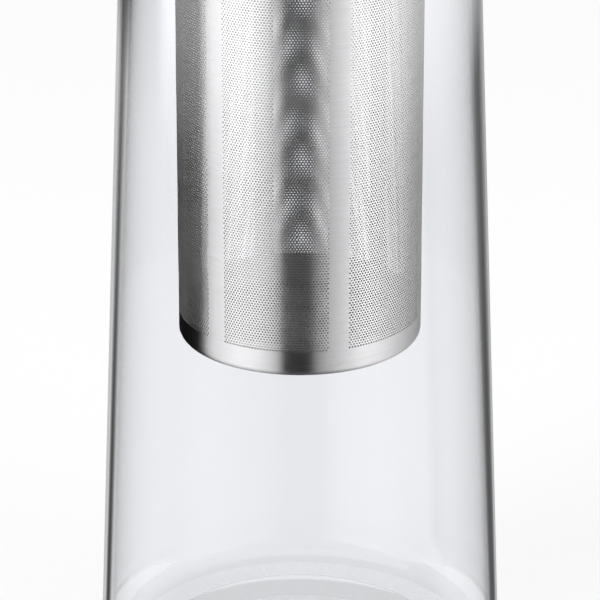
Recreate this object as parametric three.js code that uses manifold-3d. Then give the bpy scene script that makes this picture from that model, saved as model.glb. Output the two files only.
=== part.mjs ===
// Infuser carafe: a conical glass jug, a steel infuser that hangs in its mouth, and a lid with a pouring visor.
// Millimetres, +Z up. The origin is the middle of the foot on the table, and the carafe pours towards -Y.
import * as THREE from "three";
import { mergeVertices } from "three/addons/utils/BufferGeometryUtils.js";
import Module from "manifold-3d";

const wasm = await Module();
wasm.setup();

// Clearances
const FIT = 0.2; // between round pieces that slide into each other
const SEAT = 0.1; // between faces that rest on each other
const RUN = 0.4; // beside pieces that swing past each other

// Glass body
const GLASS_HEIGHT = 250;
const FOOT_RADIUS = 51.2; // the outer cone carried down to the table
const FOOT_WALL = 2.7;
const RIM_WALL = 3.4;
const FLOOR = 6.5;
const MOUTH_LAND = 18; // straight part of the mouth that the gasket seals against
const HEEL_ROUND = 6;
const FLOOR_ROUND = 8;
const RIM_ROUND = 1.5;
const STAND_RING = 8.2; // width of the flat ring that the carafe stands on, up to the heel
const PUNT = 2; // height of the hollow under the foot

// Infuser sleeve and bottom, etched and pressed from thin sheet
const INFUSER_LENGTH = 158; // from the glass rim down to the underside of the infuser
const SLEEVE_RADIUS = 30;
const SHEET = 0.3;
const FIELDS = 6; // etched fields round the sleeve, with a plain strip between each two
const COLUMNS = 5; // columns of holes in one field
const HOLE_WIDTH = 3.6;
const HOLE_HEIGHT = 6.6;
const HOLE_PITCH = 10.2; // from hole to hole down a column
const BOTTOM_BAND = 7.4; // plain sheet under the fields
const TOP_BAND = 50; // plain sheet between the fields and the glass rim, above the drink
const BOTTOM_ROUND = 1.8;
const BOTTOM_SIDE = 3; // height of the pressed bottom below the sleeve's edge
const BOTTOM_FLANGE = 4; // height of the flange inside the sleeve

// Collar and its gasket
const COLLAR_SHEET = 1;
const POUR_WIDTH = 3.8; // clear ring between the collar's neck and its skirt
const POUR_SLOTS = 18;
const SLOT_MARGIN = 0.5; // web left inside and outside a slot
const SLOT_ARC = THREE.MathUtils.degToRad(15);
const WEB_DEPTH = 4; // slotted web below the collar's top
const SKIRT_LENGTH = 14;
const SKIRT_BEAD = 0.9; // holds the gasket on the skirt
const LIP_DEPTH = 2.4; // turned-down edge round the rim
const GASKET_WALL = 0.8;
const GASKET_LIP = 0.6;
const GASKET_LIPS = 3;
const LIP_PITCH = 3.6;
const LIP_HEIGHT = 1.2;
const GASKET_FLANGE = 1;

// Lid
const LID_HEIGHT = 17;
const LID_SHEET = 0.8;
const LID_ROUND = 2.5;
const HEM = 1.4; // edge of the cover folded in under the core
const CORE_WALL = 2;
const SPIGOT_DEPTH = 10;
const SPIGOT_PLAY = 0.9; // room for the ring between spigot and sleeve
const RING_HEIGHT = 2.6;
const RING_GROOVE = 1.2;
const SEAL_FOOT = 1.1; // silicone under the visor's edge
const SEAL_HEIGHT = 4;
const SEAL_WALL = 0.9;

// Hinge of the visor
const HINGE_Y = -9;
const BARREL_RADIUS = 2;
const PIN_RADIUS = 1.1;
const KNUCKLE = 14; // length of the visor's knuckle
const SIDE_KNUCKLE = 9.6; // length of each of the cover's two
const CUT = 0.6; // gap between cover and visor

// Facets
const FACETS = 40;
const ARC_STEPS = 3;
const SLEEVE_FACETS = FIELDS * (COLUMNS + 1); // one facet for each column of holes and each plain strip
const SMALL_FACETS = 12;
const WELD = 1e-3; // vertices nearer than this are one

// Heights and radii that follow from the sizes above
const infuserBottom = GLASS_HEIGHT - INFUSER_LENGTH;
const sleeveBore = SLEEVE_RADIUS - SHEET;
const sleeveFoot = infuserBottom + BOTTOM_SIDE + SEAT;
const neckBore = SLEEVE_RADIUS + FIT;
const neckRadius = neckBore + COLLAR_SHEET;
const skirtBore = neckRadius + POUR_WIDTH;
const skirtRadius = skirtBore + COLLAR_SHEET;
const gasketBore = skirtRadius + SEAT;
const gasketRadius = gasketBore + GASKET_WALL;
const mouthBore = gasketRadius + GASKET_LIP + FIT;
const mouthRadius = mouthBore + RIM_WALL;
const flangeUnderside = GLASS_HEIGHT + SEAT + GASKET_FLANGE + SEAT;
const collarTop = flangeUnderside + COLLAR_SHEET;
const webTop = collarTop - WEB_DEPTH;
const skirtFoot = flangeUnderside - SKIRT_LENGTH;
const lipBore = mouthRadius + 2 * FIT;
const lidBase = collarTop + FIT;
const lidTop = lidBase + LID_HEIGHT;
const lidRadius = lipBore + COLLAR_SHEET - FIT;
const lidTaper = ((FOOT_RADIUS - mouthRadius) / GLASS_HEIGHT) * LID_HEIGHT; // the lid carries on the glass's cone
const lidBore = lidRadius - LID_SHEET;
const hingeZ = lidTop - LID_SHEET + BARREL_RADIUS;
const barrelEnd = KNUCKLE / 2 + RUN + SIDE_KNUCKLE;

// Shapes

// Points of a closed outline. A corner is [x, y] or [x, y, radius], and the radius rounds it.
function outline(corners) {
  const centreOfTurn = new THREE.Vector2();
  return corners.flatMap(([x, y, radius = 0], i) => {
    const corner = new THREE.Vector2(x, y);
    if (!radius) return [corner];
    const toward = ([nextX, nextY]) => new THREE.Vector2(nextX, nextY).sub(corner).normalize();
    const back = toward(corners.at(i - 1));
    const ahead = toward(corners[(i + 1) % corners.length]);
    const half = Math.acos(back.dot(ahead)) / 2;
    const tangent = radius / Math.tan(half);
    const middle = back.clone().add(ahead).normalize();
    const centre = corner.clone().addScaledVector(middle, radius / Math.sin(half));
    const start = corner.clone().addScaledVector(back, tangent).sub(centre);
    const end = corner.clone().addScaledVector(ahead, tangent).sub(centre);
    const turn = Math.atan2(start.cross(end), start.dot(end));
    return Array.from({ length: ARC_STEPS + 1 }, (_, step) =>
      start.clone().rotateAround(centreOfTurn, (turn * step) / ARC_STEPS).add(centre),
    );
  });
}

// Turns an outline of [radius, height] corners, listed anticlockwise, about Z. A facet faces the front squarely.
function revolve(corners, facets = FACETS) {
  const points = outline(corners);
  if (points[0].x > 0) points.push(points[0].clone());
  return new THREE.LatheGeometry(points, facets, Math.PI / facets).rotateX(Math.PI / 2);
}

// Upright prism over an outline of [x, y] corners.
function prism(corners, bottom, top) {
  const shape = new THREE.Shape(outline(corners));
  const options = { depth: top - bottom, bevelEnabled: false };
  return new THREE.ExtrudeGeometry(shape, options).translate(0, 0, bottom);
}

// Box between two corners.
function block([x0, y0, z0], [x1, y1, z1]) {
  const box = new THREE.BoxGeometry(x1 - x0, y1 - y0, z1 - z0);
  return box.translate((x0 + x1) / 2, (y0 + y1) / 2, (z0 + z1) / 2);
}

// Cylinder along X on the hinge axis.
function hingeRod(radius, x0, x1) {
  const rod = new THREE.CylinderGeometry(radius, radius, x1 - x0, SMALL_FACETS).rotateZ(Math.PI / 2);
  return rod.translate((x0 + x1) / 2, HINGE_Y, hingeZ);
}

// A closed geometry as a solid that can be joined and cut. Triangles that shrink to a line on the axis drop out.
function solid(geometry) {
  const bare = new THREE.BufferGeometry();
  bare.setAttribute("position", geometry.getAttribute("position"));
  bare.setIndex(geometry.getIndex());
  const welded = mergeVertices(bare, WELD);
  const corners = welded.index.array;
  const kept = [];
  for (let i = 0; i < corners.length; i += 3) {
    const [a, b, c] = corners.subarray(i, i + 3);
    if (a !== b && b !== c && c !== a) kept.push(a, b, c);
  }
  const vertProperties = welded.getAttribute("position").array;
  return new wasm.Manifold(new wasm.Mesh({ numProp: 3, vertProperties, triVerts: Uint32Array.from(kept) }));
}

// The geometry of a finished solid.
function geometryOf(made) {
  const { vertProperties, triVerts } = made.getMesh();
  const geometry = new THREE.BufferGeometry();
  geometry.setAttribute("position", new THREE.BufferAttribute(vertProperties, 3));
  geometry.setIndex(new THREE.BufferAttribute(triVerts, 1));
  geometry.computeVertexNormals();
  return geometry;
}

// Materials
const glass = new THREE.MeshStandardMaterial({
  color: 0xe9eef0,
  roughness: 0.03,
  metalness: 0,
  transparent: true,
  opacity: 0.3,
});
const brushedSteel = new THREE.MeshStandardMaterial({ color: 0xc3c5c8, roughness: 0.32, metalness: 1 });
const polishedSteel = new THREE.MeshStandardMaterial({ color: 0xd2d4d6, roughness: 0.15, metalness: 1 });
const clearSilicone = new THREE.MeshStandardMaterial({ color: 0xd9dadb, roughness: 0.55, metalness: 0 });
const greyPlastic = new THREE.MeshStandardMaterial({ color: 0x4a4c4f, roughness: 0.5, metalness: 0 });

// Glass body: one thick-walled cone with a rounded heel, a hollow foot and a straight mouth.
function glassBody() {
  return solid(
    revolve([
      [0, PUNT],
      [FOOT_RADIUS - HEEL_ROUND - STAND_RING, 0],
      [FOOT_RADIUS, 0, HEEL_ROUND],
      [mouthRadius, GLASS_HEIGHT, RIM_ROUND],
      [mouthBore, GLASS_HEIGHT, RIM_ROUND],
      [mouthBore, GLASS_HEIGHT - MOUTH_LAND],
      [FOOT_RADIUS - FOOT_WALL, FLOOR, FLOOR_ROUND],
      [0, FLOOR],
    ]),
  );
}

// Gasket: a flange between collar and rim, and a wall with sealing lips inside the mouth.
function collarGasket() {
  const foot = skirtFoot + COLLAR_SHEET + SEAT;
  const lips = Array.from({ length: GASKET_LIPS }, (_, i) => foot + LIP_HEIGHT + i * LIP_PITCH);
  return solid(
    revolve([
      [gasketBore, foot],
      [gasketRadius, foot],
      ...lips.flatMap((height) => [
        [gasketRadius, height],
        [gasketRadius + GASKET_LIP, height + LIP_HEIGHT / 2],
        [gasketRadius, height + LIP_HEIGHT],
      ]),
      [gasketRadius, GLASS_HEIGHT + SEAT],
      [mouthRadius, GLASS_HEIGHT + SEAT],
      [mouthRadius, GLASS_HEIGHT + SEAT + GASKET_FLANGE],
      [gasketBore, GLASS_HEIGHT + SEAT + GASKET_FLANGE],
    ]),
  );
}

// One pouring slot: a piece of a ring, in plan, about the front.
function slotOutline() {
  const inner = neckRadius + SLOT_MARGIN;
  const outer = skirtBore - SLOT_MARGIN;
  const at = (radius, share) => [
    radius * Math.sin(SLOT_ARC * share),
    -radius * Math.cos(SLOT_ARC * share),
  ];
  return [at(inner, -0.5), at(outer, -0.5), at(outer, 0), at(outer, 0.5), at(inner, 0.5), at(inner, 0)];
}

// Collar: the neck that holds the sleeve, the slotted web, the skirt that carries the gasket, and the rim flange.
function infuserCollar() {
  const webUnderside = webTop - COLLAR_SHEET;
  const beadTop = skirtFoot + COLLAR_SHEET;
  const lipFoot = collarTop - LIP_DEPTH;
  const ring = revolve([
    [neckBore, webUnderside],
    [skirtBore, webUnderside],
    [skirtBore, skirtFoot],
    [skirtRadius + SKIRT_BEAD, skirtFoot],
    [skirtRadius + SKIRT_BEAD, beadTop],
    [skirtRadius, beadTop],
    [skirtRadius, flangeUnderside],
    [lipBore, flangeUnderside],
    [lipBore, lipFoot],
    [lipBore + COLLAR_SHEET, lipFoot],
    [lipBore + COLLAR_SHEET, collarTop, COLLAR_SHEET],
    [skirtBore, collarTop],
    [skirtBore, webTop],
    [neckRadius, webTop],
    [neckRadius, collarTop],
    [neckBore, collarTop],
  ]);
  let collar = solid(ring);
  for (let i = 0; i < POUR_SLOTS; i++) {
    const slot = prism(slotOutline(), webUnderside - SEAT, webTop + SEAT);
    collar = collar.subtract(solid(slot.rotateZ((2 * Math.PI * i) / POUR_SLOTS)));
  }
  return collar;
}

// One flat facet of the sleeve, as the corners of its triangles. Diamond holes go through it at the given heights.
function sleeveFacet(angle, holeHeights) {
  const across = new THREE.Vector3(Math.cos(angle), Math.sin(angle), 0);
  const outward = new THREE.Vector3(Math.sin(angle), -Math.cos(angle), 0);
  const half = SLEEVE_RADIUS * Math.sin(Math.PI / SLEEVE_FACETS);
  const middle = SLEEVE_RADIUS * Math.cos(Math.PI / SLEEVE_FACETS);
  const sheet = outline([
    [-half, sleeveFoot],
    [half, sleeveFoot],
    [half, collarTop],
    [-half, collarTop],
  ]);
  const holes = holeHeights.map((height) =>
    outline([
      [-HOLE_WIDTH / 2, height],
      [0, height + HOLE_HEIGHT / 2],
      [HOLE_WIDTH / 2, height],
      [0, height - HOLE_HEIGHT / 2],
    ]),
  );
  const points = [sheet, ...holes].flat();
  const surface = (radius) =>
    points.map(({ x, y }) => {
      const share = radius / SLEEVE_RADIUS;
      const flat = across.clone().multiplyScalar(x * share).addScaledVector(outward, middle * share);
      return flat.setZ(y);
    });
  const outer = surface(SLEEVE_RADIUS);
  const inner = surface(sleeveBore);
  const corners = [];
  for (const [a, b, c] of THREE.ShapeUtils.triangulateShape(sheet, holes)) {
    corners.push(outer[a], outer[b], outer[c], inner[a], inner[c], inner[b]);
  }
  const wall = (a, b) => corners.push(outer[a], inner[a], inner[b], outer[a], inner[b], outer[b]);
  wall(0, 1);
  wall(2, 3);
  holes.forEach((hole, i) => {
    const first = sheet.length + i * hole.length;
    hole.forEach((_, k) => wall(first + k, first + ((k + 1) % hole.length)));
  });
  return corners;
}

// Sleeve: a rolled sheet, one facet for each column of staggered holes and each plain strip. A field faces the front.
function infuserSleeve() {
  const fieldFoot = infuserBottom + BOTTOM_BAND;
  const fieldHeight = GLASS_HEIGHT - TOP_BAND - fieldFoot;
  const stagger = HOLE_PITCH / 2;
  const rows = 1 + Math.floor((fieldHeight - HOLE_HEIGHT - stagger) / HOLE_PITCH);
  const corners = [];
  for (let facet = 0; facet < SLEEVE_FACETS; facet++) {
    const column = facet % (COLUMNS + 1);
    const angle = (2 * Math.PI * (facet - (COLUMNS - 1) / 2)) / SLEEVE_FACETS;
    const lowest = fieldFoot + HOLE_HEIGHT / 2 + (column % 2) * stagger;
    const heights = Array.from({ length: rows }, (_, row) => lowest + row * HOLE_PITCH);
    corners.push(...sleeveFacet(angle, column < COLUMNS ? heights : []));
  }
  return solid(new THREE.BufferGeometry().setFromPoints(corners));
}

// Bottom: a plain pressed cup with a rounded edge and a flange that steps into the sleeve.
function infuserBottomCup() {
  const shoulder = infuserBottom + BOTTOM_SIDE;
  const flangeRadius = sleeveBore - FIT;
  const flangeBore = flangeRadius - SHEET;
  const cup = revolve(
    [
      [0, infuserBottom],
      [SLEEVE_RADIUS, infuserBottom, BOTTOM_ROUND],
      [SLEEVE_RADIUS, shoulder],
      [flangeRadius, shoulder],
      [flangeRadius, shoulder + BOTTOM_FLANGE],
      [flangeBore, shoulder + BOTTOM_FLANGE],
      [flangeBore, shoulder - SHEET],
      [sleeveBore, shoulder - SHEET],
      [sleeveBore, infuserBottom + SHEET, BOTTOM_ROUND - SHEET],
      [0, infuserBottom + SHEET],
    ],
    SLEEVE_FACETS,
  );
  return solid(cup);
}

// Core: a hollow spigot that closes the infuser, a deck over the collar's neck, and a tower under the cover.
function lidCore() {
  const deckFoot = collarTop + FIT;
  const spigotRadius = sleeveBore - SPIGOT_PLAY;
  const spigotFoot = collarTop - SPIGOT_DEPTH;
  const grooveFoot = spigotFoot + CORE_WALL;
  const grooveRadius = spigotRadius - RING_GROOVE;
  const plug = revolve([
    [0, deckFoot],
    [spigotRadius - 2 * CORE_WALL, deckFoot],
    [spigotRadius - 2 * CORE_WALL, spigotFoot],
    [spigotRadius, spigotFoot],
    [spigotRadius, grooveFoot],
    [grooveRadius, grooveFoot],
    [grooveRadius, grooveFoot + RING_HEIGHT],
    [spigotRadius, grooveFoot + RING_HEIGHT],
    [spigotRadius, deckFoot],
    [neckRadius + CORE_WALL, deckFoot],
    [neckRadius + CORE_WALL, deckFoot + CORE_WALL],
    [0, deckFoot + CORE_WALL],
  ]);
  const towerFoot = lidBase + LID_SHEET + FIT;
  const towerTop = lidTop - LID_SHEET - SEAT;
  const towerRadius = lidBore - lidTaper - LID_ROUND;
  const towerFront = HINGE_Y + BARREL_RADIUS + CORE_WALL;
  const drum = (radius, foot, top) => solid(revolve([[0, foot], [radius, foot], [radius, top], [0, top]]));
  const behind = (front) => solid(block([-FOOT_RADIUS, front, 0], [FOOT_RADIUS, FOOT_RADIUS, 2 * lidTop]));
  const tower = drum(towerRadius, towerFoot, towerTop).intersect(behind(towerFront));
  const pocket = drum(towerRadius - CORE_WALL, towerFoot + CORE_WALL, lidTop);
  return solid(plug).add(tower.subtract(pocket.intersect(behind(towerFront + CORE_WALL))));
}

// Ring in the spigot's groove, with a lip that grips the sleeve.
function spigotRing() {
  const foot = collarTop - SPIGOT_DEPTH + CORE_WALL + SEAT;
  const height = RING_HEIGHT - 2 * SEAT;
  const bore = sleeveBore - SPIGOT_PLAY - RING_GROOVE + SEAT;
  const body = sleeveBore - SPIGOT_PLAY;
  return solid(
    revolve([
      [bore, foot],
      [body, foot],
      [sleeveBore - FIT, foot + height / 2],
      [body, foot + height],
      [bore, foot + height],
    ]),
  );
}

// Spun lid shell from which cover and visor are cut. The hem runs in under the core.
function lidShell(edge, hem) {
  const foldedIn = hem
    ? [
        [lidBore, edge + LID_SHEET],
        [lidBore - hem, edge + LID_SHEET],
        [lidBore - hem, edge],
      ]
    : [[lidBore, edge]];
  return solid(
    revolve([
      [lidRadius, edge],
      [lidRadius - lidTaper, lidTop, LID_ROUND],
      [0, lidTop],
      [0, lidTop - LID_SHEET],
      [lidBore - lidTaper, lidTop - LID_SHEET, LID_ROUND - LID_SHEET],
      ...foldedIn,
    ]),
  );
}

// Everything in front of, or behind, the hinge axis by at least a distance.
function halfSpace(side, distance) {
  const near = HINGE_Y + side * distance;
  const far = HINGE_Y + side * 2 * FOOT_RADIUS;
  const reach = 2 * FOOT_RADIUS;
  return solid(block([-reach, Math.min(near, far), 0], [reach, Math.max(near, far), 2 * lidTop]));
}

// Adds a knuckle to a plate, or clears the plate round the other plate's knuckle.
function withKnuckle(plate, x0, x1) {
  return plate.add(solid(hingeRod(BARREL_RADIUS, x0, x1)));
}
function clearOfKnuckle(plate, x0, x1) {
  const half = BARREL_RADIUS + RUN;
  const room = block(
    [x0 - RUN, HINGE_Y - half, lidTop - LID_ROUND],
    [x1 + RUN, HINGE_Y + half, hingeZ + half],
  );
  return plate.subtract(solid(room));
}
const pinBore = () => solid(hingeRod(PIN_RADIUS + FIT, -2 * barrelEnd, 2 * barrelEnd));
const sideKnuckles = [
  [-barrelEnd, -barrelEnd + SIDE_KNUCKLE],
  [barrelEnd - SIDE_KNUCKLE, barrelEnd],
];

// Cover: the fixed rear of the shell, with the two outer knuckles.
function lidCover() {
  let cover = lidShell(lidBase, HEM).intersect(halfSpace(1, CUT / 2));
  cover = clearOfKnuckle(cover, -KNUCKLE / 2, KNUCKLE / 2);
  for (const [x0, x1] of sideKnuckles) cover = withKnuckle(cover, x0, x1);
  return cover.subtract(pinBore());
}

// Visor: the front of the shell, which swings up to pour, with the middle knuckle.
function lidVisor() {
  let visor = lidShell(lidBase + SEAL_FOOT + SEAT, 0).intersect(halfSpace(-1, CUT / 2));
  for (const [x0, x1] of sideKnuckles) visor = clearOfKnuckle(visor, x0, x1);
  return withKnuckle(visor, -KNUCKLE / 2, KNUCKLE / 2).subtract(pinBore());
}

// Seal: an edging under and inside the visor's lower edge.
function visorSeal() {
  const taperAt = (height) => (lidTaper * height) / LID_HEIGHT;
  const bore = lidBore - SEAT - taperAt(SEAL_HEIGHT) - SEAL_WALL;
  const edging = revolve([
    [bore, lidBase],
    [lidRadius, lidBase],
    [lidRadius, lidBase + SEAL_FOOT],
    [lidBore - SEAT - taperAt(SEAL_HEIGHT), lidBase + SEAL_FOOT],
    [lidBore - SEAT - taperAt(SEAL_HEIGHT), lidBase + SEAL_HEIGHT],
    [bore, lidBase + SEAL_HEIGHT],
  ]);
  return solid(edging).intersect(halfSpace(-1, CUT));
}

// The assembly: each group holds what moves together.
function piece(name, made, material) {
  const mesh = new THREE.Mesh(geometryOf(made), material);
  mesh.name = name;
  return mesh;
}
const visor = new THREE.Group().add(
  piece("lid_visor", lidVisor(), brushedSteel),
  piece("visor_seal", visorSeal(), clearSilicone),
);
const lid = new THREE.Group().add(
  piece("lid_cover", lidCover(), brushedSteel),
  piece("lid_core", lidCore(), greyPlastic),
  piece("spigot_ring", spigotRing(), clearSilicone),
  piece("hinge_pin", solid(hingeRod(PIN_RADIUS, -barrelEnd, barrelEnd)), polishedSteel),
  visor,
);
const infuser = new THREE.Group().add(
  piece("infuser_sleeve", infuserSleeve(), brushedSteel),
  piece("infuser_bottom", infuserBottomCup(), brushedSteel),
  piece("infuser_collar", infuserCollar(), polishedSteel),
  piece("collar_gasket", collarGasket(), clearSilicone),
  lid,
);
const carafe = new THREE.Group().add(piece("glass_body", glassBody(), glass), infuser);

export default carafe;
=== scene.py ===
"""Infuser carafe: a conical glass jug, a steel infuser with six etched sieve fields, and a lid with a visor.

Sizes are millimetres, and MM turns them into metres. +Z is up, and the carafe pours towards -Y.
"""

import math

import bpy
from mathutils import Matrix, Vector


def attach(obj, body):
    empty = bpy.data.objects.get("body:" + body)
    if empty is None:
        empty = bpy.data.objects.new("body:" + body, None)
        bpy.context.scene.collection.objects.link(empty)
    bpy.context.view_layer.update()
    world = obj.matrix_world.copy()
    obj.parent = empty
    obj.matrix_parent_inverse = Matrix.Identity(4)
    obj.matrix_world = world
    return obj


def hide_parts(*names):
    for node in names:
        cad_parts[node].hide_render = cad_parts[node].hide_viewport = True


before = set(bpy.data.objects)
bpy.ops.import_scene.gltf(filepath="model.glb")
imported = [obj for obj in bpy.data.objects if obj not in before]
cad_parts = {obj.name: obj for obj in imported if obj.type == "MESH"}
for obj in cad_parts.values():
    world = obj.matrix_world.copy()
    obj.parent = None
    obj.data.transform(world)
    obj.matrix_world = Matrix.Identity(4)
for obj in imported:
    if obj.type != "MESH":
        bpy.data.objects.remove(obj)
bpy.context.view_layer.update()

MM = 0.001
ARC_STEPS = 6
TURN_STEPS = 192
ROD_SIDES = 40
BEVEL_STEPS = 3
CREASE = math.radians(32)  # edges sharper than this aren't shaded smooth
WELD = 1e-6  # metres: points nearer than this are merged

# Glass body
GLASS_HEIGHT = 250
FOOT_RADIUS = 51.2
MOUTH_RADIUS = 41.1
MOUTH_BORE = 37.7
MOUTH_LAND = 18
FOOT_WALL = 2.1
SHOULDER_BORE = 38.3
SHOULDER = 226
FLOOR = 6.5
FLOOR_ROUND = 8
HEEL_ROUND = 6
RIM_ROUND = 1.65
STAND_BORE = 37
STAND_ROUND = 4
PUNT = 2
PUNT_FLAT = 24
BLEND_ROUND = 60
SUPPORT = 1.2  # from a rounding to a ring that keeps the wall's shading straight
SHOULDER_SUPPORT = 3 * SUPPORT  # the shoulder's rounding is wider
GLASS_STEPS = 256

# Infuser
SLEEVE_RADIUS = 30
SHEET = 0.3
SLEEVE_FOOT = 95.1
SLEEVE_TOP = 252.2
SLEEVE_SIDES = 360
FIELDS = 6
FIELD_ARC = math.radians(52)
FIELD_FOOT = 98.35
FIELD_TOP = 199
HOLE_PITCH = 0.75  # the real holes are about 0.6 mm apart, which makes too many for one piece
ROW_PITCH = HOLE_PITCH * math.sqrt(3) / 2
HOLE_RADIUS = 0.255
HOLE_SIDES = 6
HOLE_COLUMNS = 35
HOLE_ROWS = 154
SIEVE_SHEET = 0.22  # thinner than the sheet, so that the holes let enough light through at a slant
BOTTOM = 92
BOTTOM_ROUND = 1.8
BOTTOM_SHOULDER = 95.08
BOTTOM_FLANGE = 100.2  # stands behind the lowest holes and closes them to the light
FLANGE_RADIUS = 29.5

# Collar and gasket
NECK_BORE = 30.2
NECK_RADIUS = 31.2
SKIRT_BORE = 35
SKIRT_RADIUS = 36
SKIRT_FOOT = 237.2
SKIRT_BEAD = 0.9
COLLAR_SHEET = 1
COLLAR_ROUND = 0.3
WEB_ROUND = 0.4
BEAD_ROUND = 0.45
FLANGE_BEND = 0.5
WEB_TOP = 248.2
COLLAR_TOP = 252.2
LIP_BORE = 41.5
LIP_FOOT = 249.8
POUR_SLOTS = 18
SLOT_MARGIN = 0.5
SLOT_ARC = math.radians(15)
SLOT_STEPS = 10
GASKET_BORE = 36.1
GASKET_RADIUS = 36.9
GASKET_LIP = 0.6
GASKET_ROUND = 0.3
GASKET_EDGE = 0.35
GASKET_FOOT = 238.3
GASKET_TOP = 251.1
GASKET_FLANGE = 1
LIP_HEIGHTS = (239.5, 243.1, 246.7)
LIP_HEIGHT = 1.2
LIP_ROUND = 0.15

# Lid
LID_BASE = 252.4
LID_TOP = 269.4
LID_RADIUS = 42.3
LID_TAPER = 0.69
LID_SHEET = 0.8
LID_ROUND = 2.5
LID_EDGE = 0.25
HEM = 1.4
HEM_ROUND = 0.3
HINGE_Y = -9
HINGE_Z = 270.6
BARREL_RADIUS = 2
BARREL_END = 17
PIN_RADIUS = 1.1
PIN_PLAY = 0.2
PIN_EDGE = 0.35
RUN = 0.4
KNUCKLE = 14
SIDE_KNUCKLE = 9.6
CUT = 0.6
VISOR_EDGE = 253.6
SEAL_FOOT = 1.1
SEAL_HEIGHT = 4
SEAL_BORE = 40.34
SEAL_RADIUS = 41.24
SEAL_ROUND = 0.3
SEAL_EDGE = 0.2
CORE_WALL = 2
CORE_BORE = 24.8
CORE_ROUND = 1.5
DECK_RADIUS = 33.2
DECK_ROUND = 0.5
SPIGOT_RADIUS = 28.8
SPIGOT_FOOT = 242.2
SPIGOT_ROUND = 0.8
GROOVE_FOOT = 244.2
GROOVE_TOP = 246.8
GROOVE_RADIUS = 27.6
GROOVE_ROUND = 0.2
RING_LIP = 29.5
RING_ROUND = 0.2
RING_PLAY = 0.1
TOWER_RADIUS = 38.3
TOWER_FRONT = -5
TOWER_FOOT = 253.4
TOWER_TOP = 268.5
TOWER_ROUND = 0.5
TOWER_BEVEL_STEPS = 2

# Patterns of the materials
RIPPLES = (40, 40, 18)  # to the metre: about 25 mm wide and 55 mm tall
BRUSH_LINE = 0.45  # real brush lines are about 0.05 mm apart and wouldn't show, so they are drawn coarser
BRUSH_LENGTH = 12
BRUSH_DEPTH = 0.03
BRUSH_SMOOTHER = 0.03  # how far the roughness falls in one line and rises in another
BRUSH_ROUGHER = 0.04
CLOUDS = 220  # to the metre: about 4.5 mm wide
GRAIN = 0.4
GRAIN_DEPTH = 0.05

# Camera: the photograph's viewing angle
CAMERA_AZIMUTH = math.radians(11.93)
CAMERA_ELEVATION = math.radians(23.57)
CAMERA_DISTANCE = 1033
CAMERA_TARGET = 98.99
CAMERA_LENS = 249.3
SENSOR = 36


def linear(code):
    """An sRGB hex colour such as "C3C5C8" as linear red, green, blue and alpha."""
    channels = [int(code[i:i + 2], 16) / 255 for i in (0, 2, 4)]
    return [c / 12.92 if c <= 0.04045 else ((c + 0.055) / 1.055) ** 2.4 for c in channels] + [1.0]


def add(tree, kind, inputs=None, **settings):
    """Adds a node with its settings. An input is a value, or the socket of another node to link."""
    node = tree.nodes.new(kind)
    for name, value in settings.items():
        setattr(node, name, value)
    for name, value in (inputs or {}).items():
        if isinstance(value, bpy.types.NodeSocket):
            tree.links.new(value, node.inputs[name])
        else:
            node.inputs[name].default_value = value
    return node


def calculate(tree, operation, first, second):
    """Adds a calculation with two values and gives its result."""
    return add(tree, "ShaderNodeMath", {0: first, 1: second}, operation=operation).outputs[0]


def met(tree, path, kind, times):
    """1 for a ray that has met more than a number of surfaces of a kind, and 0 for the others."""
    return calculate(tree, "GREATER_THAN", path.outputs[f"{kind} Depth"], times + 0.5)


def mixed(tree, share, first, second):
    """Adds a mix of two surfaces, with the share of the second."""
    return add(tree, "ShaderNodeMixShader", {0: share, 1: first.outputs[0], 2: second.outputs[0]})


def new_material(name):
    """An empty node material and its tree."""
    material = bpy.data.materials.new(name)
    material.use_nodes = True
    material.node_tree.nodes.clear()
    return material, material.node_tree


# Shaping


def rounded(corners):
    """Points of an outline. A corner is (x, y) or (x, y, rounding), and the rounding makes it an arc."""
    points = []
    for i, (x, y, *rounding) in enumerate(corners):
        corner = Vector((x, y))
        if not rounding:
            points.append(corner)
            continue
        back = (Vector(corners[i - 1][:2]) - corner).normalized()
        ahead = (Vector(corners[(i + 1) % len(corners)][:2]) - corner).normalized()
        half = back.angle(ahead) / 2
        centre = corner + (back + ahead).normalized() * (rounding[0] / math.sin(half))
        start = corner + back * (rounding[0] / math.tan(half)) - centre
        end = corner + ahead * (rounding[0] / math.tan(half)) - centre
        turn = math.atan2(start.x * end.y - start.y * end.x, start.dot(end))
        for step in range(ARC_STEPS + 1):
            points.append(centre + Matrix.Rotation(turn * step / ARC_STEPS, 2) @ start)
    return points


def new_mesh(name, add_primitive, **sizes):
    """Adds a primitive with nothing else selected, puts its place in its mesh and opens it in edit mode."""
    bpy.ops.object.select_all(action="DESELECT")
    add_primitive(**sizes)
    piece = bpy.context.object
    piece.name = name
    bpy.ops.object.transform_apply(location=True, rotation=True, scale=True)
    open_mesh(piece)
    return piece


def select_only(piece):
    """Makes a piece the active one, with no other selected."""
    bpy.ops.object.select_all(action="DESELECT")
    piece.select_set(True)
    bpy.context.view_layer.objects.active = piece


def open_mesh(piece):
    """Opens a piece alone in edit mode, with all of its mesh selected."""
    select_only(piece)
    bpy.ops.object.mode_set(mode="EDIT")
    bpy.ops.mesh.select_mode(type="VERT")
    bpy.ops.mesh.select_all(action="SELECT")


def close_mesh():
    """Merges doubles, turns the faces outwards and leaves edit mode with smooth shading."""
    bpy.ops.mesh.select_all(action="SELECT")
    bpy.ops.mesh.remove_doubles(threshold=WELD)
    bpy.ops.mesh.normals_make_consistent(inside=False)
    bpy.ops.object.mode_set(mode="OBJECT")
    bpy.ops.object.shade_smooth_by_angle(angle=CREASE)


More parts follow.
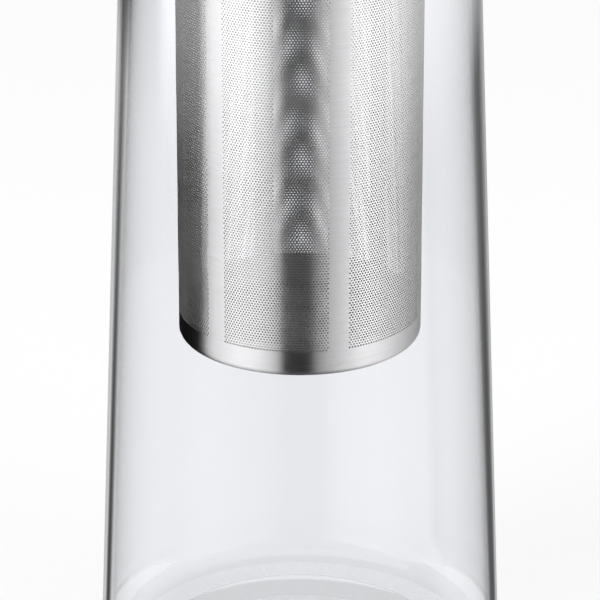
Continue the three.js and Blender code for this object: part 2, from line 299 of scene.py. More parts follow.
def draw_line(name, points):
    """Starts a mesh as one vertex and draws a line of edges from it."""
    piece = new_mesh(name, bpy.ops.mesh.primitive_plane_add, size=MM)
    bpy.ops.mesh.merge(type="CENTER")
    bpy.ops.transform.translate(value=points[0])
    for here, there in zip(points, points[1:]):
        bpy.ops.mesh.extrude_vertices_move(TRANSFORM_OT_translate={"value": there - here})
    bpy.ops.mesh.select_all(action="SELECT")
    return piece


def turned(name, corners, steps=TURN_STEPS):
    """A turned piece: a half-section of (radius, height) corners spun about Z, closed if it is clear of Z."""
    points = [Vector((radius, 0, height)) * MM for radius, height in rounded(corners)]
    if points[0].x > 0:
        points.append(points[0])
    piece = draw_line(name, points)
    bpy.ops.mesh.spin(steps=steps, angle=2 * math.pi, center=(0, 0, 0), axis=(0, 0, 1))
    close_mesh()
    return piece


def prisms(name, outline, foot, top, count):
    """Upright prisms over a closed outline of (x, y) points, spaced evenly round Z."""
    points = [Vector((x, y, foot)) * MM for x, y in outline]
    piece = draw_line(name, points)
    bpy.ops.mesh.edge_face_add()
    bpy.ops.mesh.extrude_region_move(TRANSFORM_OT_translate={"value": (0, 0, (top - foot) * MM)})
    bpy.ops.mesh.select_all(action="SELECT")
    turn = 2 * math.pi * (count - 1) / count
    bpy.ops.mesh.spin(steps=count - 1, angle=turn, center=(0, 0, 0), axis=(0, 0, 1), dupli=True)
    close_mesh()
    return piece


def block(name, low, high):
    """A box between two corners."""
    low, high = Vector(low) * MM, Vector(high) * MM
    middle = (low + high) / 2
    piece = new_mesh(name, bpy.ops.mesh.primitive_cube_add, size=1, location=middle, scale=high - low)
    close_mesh()
    return piece


def hinge_rod(name, radius, x0, x1, edge=0.0):
    """A rod along X on the hinge axis. Its end edges are rounded if their size is given."""
    piece = new_mesh(
        name,
        bpy.ops.mesh.primitive_cylinder_add,
        vertices=ROD_SIDES,
        radius=radius * MM,
        depth=(x1 - x0) * MM,
        location=Vector(((x0 + x1) / 2, HINGE_Y, HINGE_Z)) * MM,
        rotation=(0, math.pi / 2, 0),
    )
    if edge:
        select_edges(piece, lambda a, b: abs(a.x - b.x) < edge)
        bpy.ops.mesh.bevel(offset=edge * MM, segments=BEVEL_STEPS, affect="EDGES")
    close_mesh()
    return piece


def cut_across(piece, y, keep_behind):
    """Cuts a piece along an upright plane across Y, closes the cut and drops one side."""
    open_mesh(piece)
    bpy.ops.mesh.bisect(
        plane_co=(0, y * MM, 0),
        plane_no=(0, 1, 0),
        use_fill=True,
        clear_inner=keep_behind,
        clear_outer=not keep_behind,
    )
    close_mesh()


def select_faces(piece, wanted):
    """Selects the faces of the mesh in edit mode whose middle passes a test."""
    bpy.ops.mesh.select_mode(type="FACE")
    bpy.ops.mesh.select_all(action="DESELECT")
    bpy.ops.object.mode_set(mode="OBJECT")
    for face in piece.data.polygons:
        face.select = wanted(face.center / MM)
    bpy.ops.object.mode_set(mode="EDIT")


def select_edges(piece, wanted, only_borders=False):
    """Selects the edges of the mesh in edit mode whose two ends pass a test."""
    bpy.ops.mesh.select_mode(type="EDGE")
    bpy.ops.mesh.select_all(action="DESELECT")
    if only_borders:
        bpy.ops.mesh.select_non_manifold(extend=False, use_wire=False, use_multi_face=False, use_verts=False)
    bpy.ops.object.mode_set(mode="OBJECT")
    places = [vertex.co / MM for vertex in piece.data.vertices]
    for edge in piece.data.edges:
        a, b = edge.vertices
        edge.select = (edge.select or not only_borders) and wanted(places[a], places[b])
    for vertex in piece.data.vertices:
        vertex.select = False
    bpy.ops.object.mode_set(mode="EDIT")


def apply_modifier(piece, kind, **settings):
    """Adds a modifier with its settings and applies it."""
    select_only(piece)
    modifier = piece.modifiers.new(kind.lower(), kind)
    for name, value in settings.items():
        setattr(modifier, name, value)
    bpy.ops.object.modifier_apply(modifier=modifier.name)


def combine(piece, tool, operation):
    """Cuts a piece with a tool, or joins the tool to it, and removes the tool."""
    apply_modifier(piece, "BOOLEAN", operation=operation, solver="EXACT", object=tool)
    bpy.data.objects.remove(tool)
    bpy.ops.object.shade_smooth_by_angle(angle=CREASE)


def place(piece, material, body, node):
    """Gives a finished piece its material, ties it to its body and hides the CAD node that it replaces."""
    piece.data.materials.clear()
    piece.data.materials.append(material)
    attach(piece, body)
    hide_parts(node)


# Materials


def clear_pressed_glass():
    """Soda-lime glass, fire polished: clear, faintly cool, with the slight ripple that pressing leaves.

    Shadow rays, and rays that the steel inside has reflected, go straight out through it.
    """
    material, tree = new_material("clear pressed glass")
    where = add(tree, "ShaderNodeTexCoord").outputs["Object"]
    stretch = add(tree, "ShaderNodeMapping", {"Vector": where, "Scale": RIPPLES})
    ripple = add(tree, "ShaderNodeTexNoise", {"Vector": stretch.outputs[0], "Scale": 1.0, "Detail": 1.0})
    bump = add(tree, "ShaderNodeBump", {"Height": ripple.outputs[0], "Strength": 0.015, "Distance": MM})
    glass = add(
        tree,
        "ShaderNodeBsdfPrincipled",
        {
            "Base Color": linear("F9FAFC"),
            "Roughness": 0.0,
            "IOR": 1.5,
            "Transmission Weight": 1.0,
            "Normal": bump.outputs[0],
        },
    )
    straight_out = add(tree, "ShaderNodeBsdfTransparent", {"Color": linear("F4F4F4")})
    path = add(tree, "ShaderNodeLightPath")
    leaving = calculate(tree, "MULTIPLY", met(tree, path, "Transmission", 1), met(tree, path, "Glossy", 0))
    straight = calculate(tree, "MAXIMUM", path.outputs["Is Shadow Ray"], leaving)
    mix = mixed(tree, straight, glass, straight_out)
    add(tree, "ShaderNodeOutputMaterial", {"Surface": mix.outputs[0]})
    return material


def brushed_steel(name, tone, shade, roughness):
    """Stainless steel brushed round its axis: fine level lines, and reflections drawn out upright."""
    material, tree = new_material(name)
    where = add(tree, "ShaderNodeTexCoord").outputs["Object"]
    along = 1 / (BRUSH_LENGTH * MM)
    across = 1 / (BRUSH_LINE * MM)
    stretch = add(tree, "ShaderNodeMapping", {"Vector": where, "Scale": (along, along, across)})
    lines = add(tree, "ShaderNodeTexNoise", {"Vector": stretch.outputs[0], "Scale": 1.0, "Detail": 3.0})
    streak = add(tree, "ShaderNodeMapRange", {"Value": lines.outputs[0], "From Min": 0.3, "From Max": 0.7})
    tint = add(
        tree,
        "ShaderNodeMix",
        {"Factor": streak.outputs[0], "A": linear(shade), "B": linear(tone)},
        data_type="RGBA",
    )
    wear = add(
        tree,
        "ShaderNodeMapRange",
        {
            "Value": streak.outputs[0],
            "To Min": roughness - BRUSH_SMOOTHER,
            "To Max": roughness + BRUSH_ROUGHER,
        },
    )
    depth = BRUSH_DEPTH * MM
    bump = add(tree, "ShaderNodeBump", {"Height": lines.outputs[0], "Strength": 0.25, "Distance": depth})
    steel = add(
        tree,
        "ShaderNodeBsdfPrincipled",
        {
            "Base Color": tint.outputs["Result"],
            "Metallic": 1.0,
            "Roughness": wear.outputs[0],
            "Anisotropic": 1.0,
            "Anisotropic Rotation": 0.25,
            "Normal": bump.outputs[0],
        },
    )
    add(tree, "ShaderNodeOutputMaterial", {"Surface": steel.outputs[0]})
    return material


def milky_silicone():
    """Moulded silicone rubber: matt and milky, with light going about a millimetre in."""
    material, tree = new_material("milky moulded silicone")
    where = add(tree, "ShaderNodeTexCoord").outputs["Object"]
    cloud = add(tree, "ShaderNodeTexNoise", {"Vector": where, "Scale": CLOUDS, "Detail": 2.0})
    tint = add(
        tree,
        "ShaderNodeMix",
        {"Factor": cloud.outputs[0], "A": linear("D3D5D6"), "B": linear("DFE1E1")},
        data_type="RGBA",
    )
    silicone = add(
        tree,
        "ShaderNodeBsdfPrincipled",
        {
            "Base Color": tint.outputs["Result"],
            "Roughness": 0.5,
            "IOR": 1.41,
            "Subsurface Weight": 0.3,
            "Subsurface Scale": MM,
        },
    )
    add(tree, "ShaderNodeOutputMaterial", {"Surface": silicone.outputs[0]})
    return material


def moulded_polypropylene():
    """Polypropylene from a spark-eroded mould: dark grey with a fine matt grain."""
    material, tree = new_material("spark-grained polypropylene")
    where = add(tree, "ShaderNodeTexCoord").outputs["Object"]
    grain = add(tree, "ShaderNodeTexNoise", {"Vector": where, "Scale": 1 / (GRAIN * MM), "Detail": 2.0})
    depth = GRAIN_DEPTH * MM
    bump = add(tree, "ShaderNodeBump", {"Height": grain.outputs[0], "Strength": 0.2, "Distance": depth})
    plastic = add(
        tree,
        "ShaderNodeBsdfPrincipled",
        {"Base Color": linear("494B4E"), "Roughness": 0.5, "IOR": 1.49, "Normal": bump.outputs[0]},
    )
    add(tree, "ShaderNodeOutputMaterial", {"Surface": plastic.outputs[0]})
    return material


glass = clear_pressed_glass()
infuser_steel = brushed_steel("brushed infuser steel", "D2D0D0", "C7C5C5", 0.32)
# The sieve's steel is paler, to make up for the light that its coarse holes take away.
sieve_steel = brushed_steel("etched sieve steel", "EEECEB", "E3E1E0", 0.32)
collar_steel = brushed_steel("satin collar steel", "CFD0D1", "C6C7C8", 0.3)
lid_steel = brushed_steel("brushed lid steel", "CCCDCF", "C4C5C7", 0.32)
pin_steel = brushed_steel("polished pin steel", "D3D4D5", "CDCECF", 0.16)
silicone = milky_silicone()
plastic = moulded_polypropylene()


# Glass body


def on_line(start, end, height):
    """The corner at a height on the straight line between two others."""
    share = (height - start[1]) / (end[1] - start[1])
    return (start[0] + (end[0] - start[0]) * share, height)


def carafe_glass():
    """One thick-walled cone with a rounded heel, a hollow foot and a straight mouth."""
    heel = (FOOT_RADIUS, 0)
    rim = (MOUTH_RADIUS, GLASS_HEIGHT)
    shoulder = (SHOULDER_BORE, SHOULDER)
    floor_edge = (FOOT_RADIUS - FOOT_WALL, FLOOR)
    return turned(
        "carafe_glass",
        [
            (0, PUNT),
            (PUNT_FLAT, PUNT, BLEND_ROUND),
            (STAND_BORE, 0, STAND_ROUND),
            (*heel, HEEL_ROUND),
            on_line(heel, rim, HEEL_ROUND + SUPPORT),
            on_line(heel, rim, GLASS_HEIGHT - RIM_ROUND - SUPPORT),
            (*rim, RIM_ROUND),
            (MOUTH_BORE, GLASS_HEIGHT, RIM_ROUND),
            (MOUTH_BORE, GLASS_HEIGHT - MOUTH_LAND, BLEND_ROUND),
            (*shoulder, BLEND_ROUND),
            on_line(shoulder, floor_edge, SHOULDER - SHOULDER_SUPPORT),
            on_line(shoulder, floor_edge, FLOOR + FLOOR_ROUND + SUPPORT),
            (*floor_edge, FLOOR_ROUND),
            (0, FLOOR),
        ],
        GLASS_STEPS,
    )


place(carafe_glass(), glass, "carafe", "glass_body")


# Infuser


def from_field(point):
    """The angle round the sleeve from the middle of the nearest etched field to a point."""
    spacing = 2 * math.pi / FIELDS
    return (math.atan2(point.x, -point.y) + spacing / 2) % spacing - spacing / 2


def sleeve_sheet():
    """The rolled sheet, with a window for each etched field and plain strips between them."""
    piece = new_mesh(
        "sleeve_sheet",
        bpy.ops.mesh.primitive_cylinder_add,
        vertices=SLEEVE_SIDES,
        radius=SLEEVE_RADIUS * MM,
        depth=(SLEEVE_TOP - SLEEVE_FOOT) * MM,
        end_fill_type="NOTHING",
        location=(0, 0, (SLEEVE_TOP + SLEEVE_FOOT) / 2 * MM),
    )
    for height in (FIELD_FOOT, FIELD_TOP):
        bpy.ops.mesh.select_all(action="SELECT")
        bpy.ops.mesh.bisect(plane_co=(0, 0, height * MM), plane_no=(0, 0, 1))

    def in_a_window(middle):
        return FIELD_FOOT < middle.z < FIELD_TOP and abs(from_field(middle)) < FIELD_ARC / 2

    select_faces(piece, in_a_window)
    bpy.ops.mesh.delete(type="FACE")
    close_mesh()
    apply_modifier(piece, "SOLIDIFY", thickness=SHEET * MM, offset=-1)
    bpy.ops.object.shade_smooth_by_angle(angle=CREASE)
    return piece


def repeat(piece, count, step):
    """Repeats the mesh in a row, each copy moved on by a step in millimetres."""
    apply_modifier(
        piece,
        "ARRAY",
        count=count,
        use_relative_offset=False,
        use_constant_offset=True,
        constant_offset_displace=Vector(step) * MM,
    )


def level_border(a, b):
    """Whether an edge lies along the straight lower or upper border of a field."""
    off = min(max(abs(a.z - border), abs(b.z - border)) for border in (FIELD_FOOT, FIELD_TOP))
    return off < SHEET / 10


def flat_sieve():
    """One etched field drawn flat across Y: rows of holes, each row half a pitch on from the last."""
    half_width = FIELD_ARC * SLEEVE_RADIUS / 2
    first_x = -(HOLE_COLUMNS - 0.5) * HOLE_PITCH / 2
    first_z = (FIELD_FOOT + FIELD_TOP - (HOLE_ROWS - 1) * ROW_PITCH) / 2
    last_z = first_z + (HOLE_ROWS - 1) * ROW_PITCH
    piece = new_mesh(
        "sieve_field_1",
        bpy.ops.mesh.primitive_circle_add,
        vertices=HOLE_SIDES,
        radius=HOLE_PITCH / math.sqrt(3) * MM,
        fill_type="NGON",
        rotation=(math.pi / 2, 0, 0),
    )
    bpy.ops.mesh.inset(thickness=(HOLE_PITCH / 2 - HOLE_RADIUS) * MM)
    bpy.ops.object.vertex_group_assign_new()
    bpy.ops.mesh.select_all(action="SELECT")
    bpy.ops.transform.translate(value=Vector((first_x, 0, first_z)) * MM)
    bpy.ops.object.mode_set(mode="OBJECT")
    repeat(piece, HOLE_COLUMNS, (HOLE_PITCH, 0, 0))
    repeat(piece, 2, (HOLE_PITCH / 2, 0, ROW_PITCH))
    repeat(piece, HOLE_ROWS // 2, (0, 0, 2 * ROW_PITCH))
    open_mesh(piece)
    bpy.ops.mesh.remove_doubles(threshold=WELD)
    side = first_x + HOLE_PITCH / 2
    margins = [
        ((1, 1, 0), (0, 0, FIELD_FOOT), lambda at: at.z < first_z),
        ((1, 1, 0), (0, 0, FIELD_TOP), lambda at: at.z > last_z),
        ((0, 1, 1), (-half_width, 0, 0), lambda at: at.x < side),
        ((0, 1, 1), (half_width, 0, 0), lambda at: at.x > -side),
    ]
    for flatten, border, beside in margins:

        def on_this_side(a, b):
            return beside((a + b) / 2) and not level_border(a, b)

        select_edges(piece, on_this_side, only_borders=True)
        bpy.ops.mesh.extrude_region_move()
        bpy.ops.transform.resize(value=flatten, center_override=Vector(border) * MM)
    bpy.ops.mesh.select_mode(type="VERT")
    bpy.ops.mesh.select_all(action="DESELECT")
    bpy.ops.object.vertex_group_select()
    bpy.ops.mesh.select_mode(type="FACE")
    bpy.ops.mesh.delete(type="ONLY_FACE")
    bpy.ops.object.mode_set(mode="OBJECT")
    return piece


def sieve_fields():
    """The six fields: one flat sieve given its thickness, rolled to the sleeve and copied round it."""
    first = flat_sieve()
    apply_modifier(first, "SOLIDIFY", thickness=SIEVE_SHEET * MM, offset=-1)
    apply_modifier(first, "SIMPLE_DEFORM", deform_method="BEND", deform_axis="Z", angle=FIELD_ARC)
    open_mesh(first)
    bpy.ops.transform.translate(value=(0, -SLEEVE_RADIUS * MM, 0))
    bpy.ops.object.mode_set(mode="OBJECT")
    first.vertex_groups.clear()
    bpy.ops.object.shade_smooth_by_angle(angle=CREASE)
    fields = [first]
    for i in range(1, FIELDS):
        bpy.ops.object.duplicate()
        copy = bpy.context.object
        copy.name = f"sieve_field_{i + 1}"
        copy.rotation_euler.z = 2 * math.pi / FIELDS
        bpy.ops.object.transform_apply(location=True, rotation=True, scale=True)
        fields.append(copy)
    return fields


def plain_margin(field):
    """Gives the border of a field, which has no holes, the steel of the sheet round it."""
    field.data.materials.append(infuser_steel)
    width = HOLE_PITCH / 2
    for face in field.data.polygons:
        middle = face.center / MM
        beside = FIELD_ARC / 2 - abs(from_field(middle)) < width / SLEEVE_RADIUS
        end = min(middle.z - FIELD_FOOT, FIELD_TOP - middle.z) < width
        face.material_index = int(beside or end)


def bottom_cup():
    """A plain pressed cup with a rounded edge and a flange that steps into the sleeve."""
    bore = SLEEVE_RADIUS - SHEET
    return turned(
        "bottom_cup",
        [
            (0, BOTTOM),
            (SLEEVE_RADIUS, BOTTOM, BOTTOM_ROUND),
            (SLEEVE_RADIUS, BOTTOM_SHOULDER),
            (FLANGE_RADIUS, BOTTOM_SHOULDER),
            (FLANGE_RADIUS, BOTTOM_FLANGE),
            (FLANGE_RADIUS - SHEET, BOTTOM_FLANGE),
            (FLANGE_RADIUS - SHEET, BOTTOM_SHOULDER - SHEET),
            (bore, BOTTOM_SHOULDER - SHEET),
            (bore, BOTTOM + SHEET, BOTTOM_ROUND - SHEET),
            (0, BOTTOM + SHEET),
        ],
    )


def pouring_collar():
    """The neck that holds the sleeve, the slotted web, the gasket's skirt and the flange over the rim."""
    rim_foot = COLLAR_TOP - COLLAR_SHEET
    web_foot = WEB_TOP - COLLAR_SHEET
    bead = SKIRT_RADIUS + SKIRT_BEAD
    piece = turned(
        "pouring_collar",
        [
            (NECK_BORE, web_foot, WEB_ROUND),
            (SKIRT_BORE, web_foot, WEB_ROUND),
            (SKIRT_BORE, SKIRT_FOOT, COLLAR_ROUND),
            (bead, SKIRT_FOOT, BEAD_ROUND),
            (bead, SKIRT_FOOT + COLLAR_SHEET, BEAD_ROUND),
            (SKIRT_RADIUS, SKIRT_FOOT + COLLAR_SHEET),
            (SKIRT_RADIUS, rim_foot),
            (LIP_BORE, rim_foot, COLLAR_ROUND),
            (LIP_BORE, LIP_FOOT, COLLAR_ROUND),
            (LIP_BORE + COLLAR_SHEET, LIP_FOOT, COLLAR_ROUND),
            (LIP_BORE + COLLAR_SHEET, COLLAR_TOP, COLLAR_SHEET),
            (SKIRT_BORE, COLLAR_TOP, FLANGE_BEND),
            (SKIRT_BORE, WEB_TOP, COLLAR_ROUND),
            (NECK_RADIUS, WEB_TOP, COLLAR_ROUND),
            (NECK_RADIUS, COLLAR_TOP, COLLAR_ROUND),
            (NECK_BORE, COLLAR_TOP, COLLAR_ROUND),
        ],
    )
    inner = NECK_RADIUS + SLOT_MARGIN
    outer = SKIRT_BORE - SLOT_MARGIN
    turns = [SLOT_ARC * (i / SLOT_STEPS - 0.5) for i in range(SLOT_STEPS + 1)]
    outline = [(outer * math.sin(t), -outer * math.cos(t)) for t in turns]
    outline += [(inner * math.sin(t), -inner * math.cos(t)) for t in reversed(turns)]
    punch = prisms("punch", outline, web_foot - COLLAR_SHEET, WEB_TOP + COLLAR_SHEET, POUR_SLOTS)
    combine(piece, punch, "DIFFERENCE")
    return piece


def rim_gasket():
    """A flange between collar and rim, and a wall with three sealing lips inside the mouth."""
    lips = []
    for foot in LIP_HEIGHTS:
        lips.append((GASKET_RADIUS, foot))
        lips.append((GASKET_RADIUS + GASKET_LIP, foot + LIP_HEIGHT / 2, LIP_ROUND))
        lips.append((GASKET_RADIUS, foot + LIP_HEIGHT))
    return turned(
        "rim_gasket",
        [
            (GASKET_BORE, GASKET_FOOT),
            (GASKET_RADIUS, GASKET_FOOT, GASKET_ROUND),
            *lips,
            (GASKET_RADIUS, GASKET_TOP - GASKET_FLANGE),
            (MOUTH_RADIUS, GASKET_TOP - GASKET_FLANGE, GASKET_EDGE),
            (MOUTH_RADIUS, GASKET_TOP, GASKET_EDGE),
            (GASKET_BORE, GASKET_TOP),
        ],
    )


place(sleeve_sheet(), infuser_steel, "infuser", "infuser_sleeve")
for field in sieve_fields():
    place(field, sieve_steel, "infuser", "infuser_sleeve")
    plain_margin(field)
place(bottom_cup(), infuser_steel, "infuser", "infuser_bottom")
place(pouring_collar(), collar_steel, "infuser", "infuser_collar")
place(rim_gasket(), silicone, "infuser", "collar_gasket")


# Lid


def lid_shell(name, edge, folded_in):
    """The spun shell that cover and visor are cut from, with what its lower edge folds in to."""
    bore = LID_RADIUS - LID_SHEET
    return turned(
        name,
        [
            (0, LID_TOP - LID_SHEET),
            (bore - LID_TAPER, LID_TOP - LID_SHEET, LID_ROUND - LID_SHEET),
            *folded_in,
            (LID_RADIUS, edge, LID_EDGE),
            (LID_RADIUS - LID_TAPER, LID_TOP, LID_ROUND),
            (0, LID_TOP),
        ],
    )


def clear_of_knuckle(piece, x0, x1):
    """Clears a plate round the other plate's knuckle."""
    reach = BARREL_RADIUS + RUN
    low = (x0 - RUN, HINGE_Y - reach, LID_TOP - LID_ROUND)
    high = (x1 + RUN, HINGE_Y + reach, HINGE_Z + reach)
    combine(piece, block("room", low, high), "DIFFERENCE")


def with_knuckles(piece, spans):
    """Joins rolled knuckles to a plate and bores them for the pin."""
    for x0, x1 in spans:
        combine(piece, hinge_rod("knuckle", BARREL_RADIUS, x0, x1, LID_EDGE), "UNION")
    combine(piece, hinge_rod("bore", PIN_RADIUS + PIN_PLAY, -2 * BARREL_END, 2 * BARREL_END), "DIFFERENCE")


side_knuckles = [(-BARREL_END, -BARREL_END + SIDE_KNUCKLE), (BARREL_END - SIDE_KNUCKLE, BARREL_END)]


def rear_cover():
    """The fixed rear of the lid, with a hem and the two outer knuckles."""
    bore = LID_RADIUS - LID_SHEET
    fold = LID_BASE + LID_SHEET
    hem = [(bore, fold), (bore - HEM, fold, HEM_ROUND), (bore - HEM, LID_BASE, HEM_ROUND)]
    piece = lid_shell("rear_cover", LID_BASE, hem)
    cut_across(piece, HINGE_Y + CUT / 2, True)
    clear_of_knuckle(piece, -KNUCKLE / 2, KNUCKLE / 2)
    with_knuckles(piece, side_knuckles)
    return piece


def front_visor():
    """The front of the lid, which swings up to pour, with the middle knuckle."""
    piece = lid_shell("front_visor", VISOR_EDGE, [(LID_RADIUS - LID_SHEET, VISOR_EDGE, LID_EDGE)])
    cut_across(piece, HINGE_Y - CUT / 2, False)
    for x0, x1 in side_knuckles:
        clear_of_knuckle(piece, x0, x1)
    with_knuckles(piece, [(-KNUCKLE / 2, KNUCKLE / 2)])
    return piece


def visor_edging():
    """Silicone under and inside the visor's lower edge."""
    piece = turned(
        "visor_edging",
        [
            (SEAL_BORE, LID_BASE, SEAL_EDGE),
            (LID_RADIUS, LID_BASE, SEAL_ROUND),
            (LID_RADIUS, LID_BASE + SEAL_FOOT, SEAL_EDGE),
            (SEAL_RADIUS, LID_BASE + SEAL_FOOT),
            (SEAL_RADIUS, LID_BASE + SEAL_HEIGHT, SEAL_ROUND),
            (SEAL_BORE, LID_BASE + SEAL_HEIGHT, SEAL_ROUND),
        ],
    )
    cut_across(piece, HINGE_Y - CUT, False)
    return piece


def core_plug():
    """A hollow spigot that closes the infuser, a deck over the collar's neck, and a tower under the cover."""
    piece = turned(
        "core_plug",
        [
            (0, LID_BASE),
            (CORE_BORE, LID_BASE, CORE_ROUND),
            (CORE_BORE, SPIGOT_FOOT, SPIGOT_ROUND),
            (SPIGOT_RADIUS, SPIGOT_FOOT, SPIGOT_ROUND),
            (SPIGOT_RADIUS, GROOVE_FOOT, GROOVE_ROUND),
            (GROOVE_RADIUS, GROOVE_FOOT),
            (GROOVE_RADIUS, GROOVE_TOP),
            (SPIGOT_RADIUS, GROOVE_TOP, GROOVE_ROUND),
            (SPIGOT_RADIUS, LID_BASE),
            (DECK_RADIUS, LID_BASE, DECK_ROUND),
            (DECK_RADIUS, LID_BASE + CORE_WALL, DECK_ROUND),
            (0, LID_BASE + CORE_WALL),
        ],
    )
    tower = new_mesh(
        "tower",
        bpy.ops.mesh.primitive_cylinder_add,
        vertices=TURN_STEPS,
        radius=TOWER_RADIUS * MM,
        depth=(TOWER_TOP - TOWER_FOOT) * MM,
        location=(0, 0, (TOWER_TOP + TOWER_FOOT) / 2 * MM),
    )
    close_mesh()
    cut_across(tower, TOWER_FRONT, True)
    open_mesh(tower)
    select_faces(tower, lambda middle: middle.z > TOWER_TOP - TOWER_ROUND)
    bpy.ops.mesh.inset(thickness=CORE_WALL * MM)
    depth = TOWER_TOP - TOWER_FOOT - CORE_WALL
    bpy.ops.mesh.extrude_region_move(TRANSFORM_OT_translate={"value": (0, 0, -depth * MM)})
    close_mesh()
    apply_modifier(
        tower,
        "BEVEL",
        width=TOWER_ROUND * MM,
        segments=TOWER_BEVEL_STEPS,
        limit_method="ANGLE",
        angle_limit=CREASE,
    )
    combine(piece, tower, "UNION")
    return piece


def plug_ring():
    """Silicone ring in the spigot's groove, with a lip that grips the sleeve."""
    bore = GROOVE_RADIUS + RING_PLAY
    foot = GROOVE_FOOT + RING_PLAY
    top = GROOVE_TOP - RING_PLAY
    return turned(
        "plug_ring",
        [
            (bore, foot),
            (SPIGOT_RADIUS, foot),
            (RING_LIP, (foot + top) / 2, RING_ROUND),
            (SPIGOT_RADIUS, top),
            (bore, top),
        ],
    )


place(rear_cover(), lid_steel, "lid", "lid_cover")
place(core_plug(), plastic, "lid", "lid_core")
place(plug_ring(), silicone, "lid", "spigot_ring")
visor_pin = hinge_rod("visor_pin", PIN_RADIUS, -BARREL_END, BARREL_END, PIN_EDGE)
place(visor_pin, pin_steel, "lid", "hinge_pin")
place(front_visor(), lid_steel, "visor", "lid_visor")
place(visor_edging(), silicone, "visor", "visor_seal")


# Studio


# Brightness of the cards round the object, by degrees to the right of the camera.
STEEL_CARDS = [
    (-180, 0.2), (-165, 0.0), (-100, 0.0), (-92, 2.05), (-75, 2.05), (-55, 2.5), (-36, 2.1), (-26, 1.6),
    (-19, 1.05), (-16, 0.02), (10, 0.02), (16, 0.6), (26, 1.1), (45, 1.68), (58, 2.15), (70, 2.2),
    (90, 1.75), (115, 1.15), (145, 0.65), (180, 0.2),
]
GLASS_CARDS = [
    (-180, 0.45), (-169, 0.65), (-160, 0.55), (-154, 0.65), (-151.5, 0.3), (-149.5, 0.1), (-145.5, 0.05),
    (-143, 0.15), (-141, 0.35), (-138.5, 0.7), (-136, 0.55), (-134, 0.3), (-131, 0.4), (-123, 0.38),
    (-94, 0.42), (-72, 0.05), (75, 0.06), (94, 0.75), (123, 0.58), (131.5, 0.5), (134, 0.28), (140, 0.25),
    (142.5, 0.12), (145, 0.09), (152, 0.1), (154.5, 0.17), (157, 0.35), (160, 0.6), (164, 0.45), (169, 0.4),
    (180, 0.4),
]
CARD_TOP = 2.5  # the brightest card
BASE_LIGHT = 1.1
CARD_RADIUS = 600
CARD_REACH = 900  # up and down from the table
CARD_BLEND = 30  # up and down from the table, where one set of cards passes into the other
CARD_SIDES = 128
TABLE_CARD = 300
TABLE_CARD_SIDES = 64
FLOOR_SIZE = 12000
FLOOR_GLOW = 0.7  # the floor's share of plain white, where the rest takes the shadow
WORLD_FILL = 0.7  # the light on matt surfaces from all round
LAMP_AIM = 150
LAMPS = [  # name, place, size and watts
    ("key lamp", (-700, -800, 1100), 600, 9),
    ("fill lamp", (900, -300, 800), 800, 5),
]


def card_grey(level):
    """The brightness of a card as a colour, in which the brightest card is white."""
    return [level / CARD_TOP] * 3 + [1]


def hide_from(thing, *kinds):
    """Hides a card or a lamp from some kinds of rays."""
    for kind in kinds:
        setattr(thing, f"visible_{kind}", False)


def studio_cards():
    """A ring of cards that only reflections see.

    STEEL_CARDS stand above the table and GLASS_CARDS below it, where the glass finds them. The steel in the
    glass finds STEEL_CARDS everywhere. Rays that have gone into a second wall of the glass find BASE_LIGHT.
    """
    material, tree = new_material("studio cards")
    where = add(tree, "ShaderNodeTexCoord").outputs["Object"]
    turn = (0, 0, math.pi / 2 - CAMERA_AZIMUTH)
    aim = add(tree, "ShaderNodeMapping", {"Vector": where, "Rotation": turn})
    sweep = add(tree, "ShaderNodeTexGradient", {"Vector": aim.outputs[0]}, gradient_type="RADIAL")
    levels = []
    for cards in (GLASS_CARDS, STEEL_CARDS):
        ramp = add(tree, "ShaderNodeValToRGB", {"Fac": sweep.outputs["Fac"]})
        stops = ramp.color_ramp.elements
        for degrees, _ in cards[1:-1]:
            stops.new(degrees / 360 + 0.5)
        for stop, (_, level) in zip(stops, cards):
            stop.color = card_grey(level)
        levels.append(ramp.outputs["Color"])
    path = add(tree, "ShaderNodeLightPath")
    height = add(tree, "ShaderNodeSeparateXYZ", {"Vector": where}).outputs["Z"]
    blend = CARD_BLEND * MM
    above = add(tree, "ShaderNodeMapRange", {"Value": height, "From Min": -blend, "From Max": blend})
    for_steel = calculate(tree, "MAXIMUM", met(tree, path, "Transparent", 1), above.outputs[0])
    level = add(
        tree,
        "ShaderNodeMix",
        {"Factor": for_steel, "A": levels[0], "B": levels[1]},
        data_type="RGBA",
    )
    second_wall = met(tree, path, "Transmission", 2)
    level = add(
        tree,
        "ShaderNodeMix",
        {"Factor": second_wall, "A": level.outputs["Result"], "B": card_grey(BASE_LIGHT)},
        data_type="RGBA",
    )
    glow = add(tree, "ShaderNodeEmission", {"Color": level.outputs["Result"], "Strength": CARD_TOP})
    unseen = add(tree, "ShaderNodeBsdfTransparent")
    mix = mixed(tree, met(tree, path, "Glossy", 0), unseen, glow)
    add(tree, "ShaderNodeOutputMaterial", {"Surface": mix.outputs[0]})
    material.cycles.emission_sampling = "NONE"
    ring = new_mesh(
        "studio_cards",
        bpy.ops.mesh.primitive_cylinder_add,
        vertices=CARD_SIDES,
        radius=CARD_RADIUS * MM,
        depth=2 * CARD_REACH * MM,
        end_fill_type="NOTHING",
    )
    close_mesh()
    ring.data.materials.append(material)
    hide_from(ring, "camera", "diffuse", "shadow")


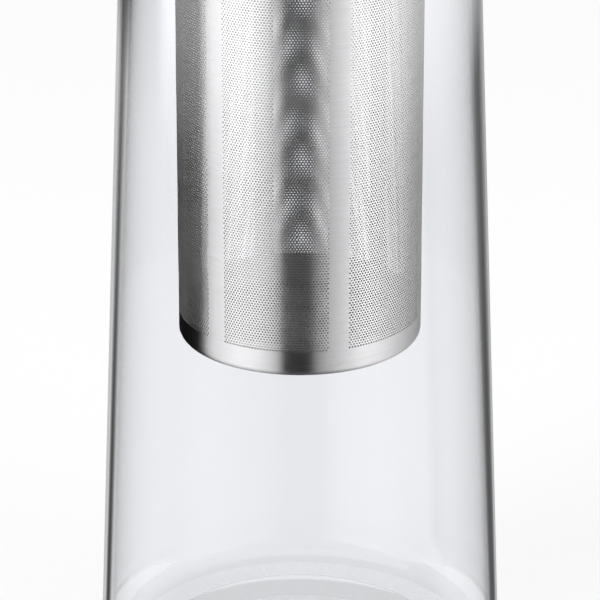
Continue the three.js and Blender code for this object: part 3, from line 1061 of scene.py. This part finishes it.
def table_card():
    """A grey card far below the table, which only steep reflections see: it draws the edge of the bottom."""
    material, tree = new_material("grey table card")
    grey = add(tree, "ShaderNodeEmission", {"Color": linear("808285"), "Strength": 1.0})
    add(tree, "ShaderNodeOutputMaterial", {"Surface": grey.outputs[0]})
    material.cycles.emission_sampling = "NONE"
    card = new_mesh(
        "table_card",
        bpy.ops.mesh.primitive_circle_add,
        vertices=TABLE_CARD_SIDES,
        radius=TABLE_CARD * MM,
        fill_type="NGON",
        location=(0, 0, -TABLE_CARD * MM),
    )
    close_mesh()
    card.data.materials.append(material)
    hide_from(card, "camera", "diffuse", "transmission", "shadow")


def pale_floor():
    """A white floor that keeps the object's shadow, and that is white through the glass too.

    Reflections look through it to the cards, which reach below it.
    """
    material, tree = new_material("white studio floor")
    path = add(tree, "ShaderNodeLightPath")
    seen = calculate(tree, "MAXIMUM", path.outputs["Is Camera Ray"], path.outputs["Is Transmission Ray"])
    share = calculate(tree, "MULTIPLY", seen, FLOOR_GLOW)
    matt = add(tree, "ShaderNodeBsdfDiffuse", {"Color": linear("F7F7F7")})
    white = add(tree, "ShaderNodeEmission", {"Color": linear("FFFFFF"), "Strength": 1.0})
    through = add(tree, "ShaderNodeBsdfTransparent")
    mix = mixed(tree, met(tree, path, "Glossy", 0), mixed(tree, share, matt, white), through)
    add(tree, "ShaderNodeOutputMaterial", {"Surface": mix.outputs[0]})
    material.cycles.emission_sampling = "NONE"
    floor = new_mesh("studio_floor", bpy.ops.mesh.primitive_plane_add, size=FLOOR_SIZE * MM)
    bpy.ops.object.mode_set(mode="OBJECT")
    floor.data.materials.append(material)


def lamp(name, location, size, power):
    """A soft area lamp aimed at the middle of the object, and not seen in metal or glass."""
    bpy.ops.object.light_add(type="AREA", location=Vector(location) * MM)
    made = bpy.context.object
    made.name = name
    made.data.size = size * MM
    made.data.energy = power
    aim = Vector((0, 0, LAMP_AIM)) * MM - made.location
    made.rotation_euler = aim.to_track_quat("-Z", "Y").to_euler()
    hide_from(made, "glossy", "transmission", "camera")


def white_world():
    """White behind everything, and soft light from all round."""
    world = bpy.data.worlds.new("white studio")
    bpy.context.scene.world = world
    world.use_nodes = True
    tree = world.node_tree
    tree.nodes.clear()
    path = add(tree, "ShaderNodeLightPath")
    level = add(
        tree,
        "ShaderNodeMapRange",
        {"Value": path.outputs["Is Diffuse Ray"], "To Min": 1.0, "To Max": WORLD_FILL},
    )
    white = add(tree, "ShaderNodeBackground", {"Color": linear("FFFFFF"), "Strength": level.outputs[0]})
    add(tree, "ShaderNodeOutputWorld", {"Surface": white.outputs[0]})


def photo_camera():
    """The camera at the photograph's viewing angle and distance."""
    level = CAMERA_DISTANCE * math.cos(CAMERA_ELEVATION)
    up = CAMERA_TARGET + CAMERA_DISTANCE * math.sin(CAMERA_ELEVATION)
    at = Vector((level * math.sin(CAMERA_AZIMUTH), -level * math.cos(CAMERA_AZIMUTH), up)) * MM
    bpy.ops.object.camera_add(location=at)
    camera = bpy.context.object
    look = Vector((0, 0, CAMERA_TARGET)) * MM - at
    camera.rotation_euler = look.to_track_quat("-Z", "Y").to_euler()
    camera.data.sensor_width = SENSOR
    camera.data.lens = CAMERA_LENS
    bpy.context.scene.camera = camera


photo_camera()
pale_floor()
studio_cards()
table_card()
white_world()
for settings in LAMPS:
    lamp(*settings)
bpy.context.scene.view_settings.view_transform = "Standard"
